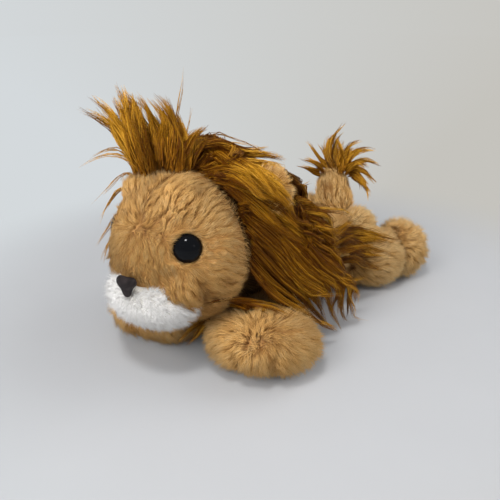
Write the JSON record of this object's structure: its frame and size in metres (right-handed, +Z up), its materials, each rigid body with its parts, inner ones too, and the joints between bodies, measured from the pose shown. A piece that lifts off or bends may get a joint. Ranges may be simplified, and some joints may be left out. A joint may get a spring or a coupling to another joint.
{
  "type": "plush lion",
  "caption": "Plush lion lying on its belly: sewn pile skin over fibre and a pellet pouch, shank eyes, long mane and tail tuft; head, legs and tail swing softly at their seams.",
  "frame": {"origin": "middle of the flat face that the belly rests on", "axes": "+Z up, the face looks along -Y, the lion's left side is +X"},
  "size_m": [0.1901, 0.3247, 0.202],
  "materials": {
    "plush_tan": "short plush pile",
    "plush_white": "short plush pile",
    "mane_hair": "long combed pile",
    "eye_black": "high gloss",
    "nose_cloth": "satin cloth",
    "fibre_fill": "loose polyester fibre",
    "pouch_cloth": "plain weave",
    "nylon": "moulded"
  },
  "bodies": {
    "torso": {"torso_cover": "plush_tan", "torso_stuffing": "fibre_fill", "pellet_pouch": "pouch_cloth", "mane_left": "mane_hair", "mane_right": "mane_hair"},
    "head": {"head_cover": "plush_tan", "head_stuffing": "fibre_fill", "muzzle": "plush_white", "nose": "nose_cloth", "eye_left": "eye_black", "eye_right": "eye_black", "eye_washer_left": "nylon", "eye_washer_right": "nylon", "ear_left": "plush_tan", "ear_right": "plush_tan", "mane_crown": "mane_hair", "mane_nape": "mane_hair"},
    "tail": {"tail": "plush_tan", "tail_tuft": "mane_hair"},
    "front_leg_left": {"front_leg_left_cover": "plush_tan", "front_leg_left_stuffing": "fibre_fill"},
    "front_leg_right": {"front_leg_right_cover": "plush_tan", "front_leg_right_stuffing": "fibre_fill"},
    "hind_leg_left": {"hind_leg_left_cover": "plush_tan", "hind_leg_left_stuffing": "fibre_fill"},
    "hind_leg_right": {"hind_leg_right_cover": "plush_tan", "hind_leg_right_stuffing": "fibre_fill"}
  },
  "joints": [
    {"name": "head_turn", "type": "hinge", "parent": "torso", "child": "head", "pos_m": [0, -0.084, 0.089], "axis": [0, 0, 1], "range_deg": [-12, 12]},
    {"name": "front_leg_left_swing", "type": "hinge", "parent": "torso", "child": "front_leg_left", "pos_m": [0.027, -0.046, 0.03], "axis": [0, 0, 1], "range_deg": [0, 22]},
    {"name": "front_leg_right_swing", "type": "hinge", "parent": "torso", "child": "front_leg_right", "pos_m": [-0.027, -0.046, 0.03], "axis": [0, 0, -1], "range_deg": [0, 22]},
    {"name": "hind_leg_left_swing", "type": "hinge", "parent": "torso", "child": "hind_leg_left", "pos_m": [0.032, 0.042, 0.03], "axis": [0, 0, -1], "range_deg": [0, 24]},
    {"name": "hind_leg_right_swing", "type": "hinge", "parent": "torso", "child": "hind_leg_right", "pos_m": [-0.032, 0.042, 0.03], "axis": [0, 0, 1], "range_deg": [0, 24]},
    {"name": "tail_bend", "type": "hinge", "parent": "torso", "child": "tail", "pos_m": [0, 0.074, 0.07], "axis": [-1, 0, 0], "range_deg": [0, 35]}
  ]
}
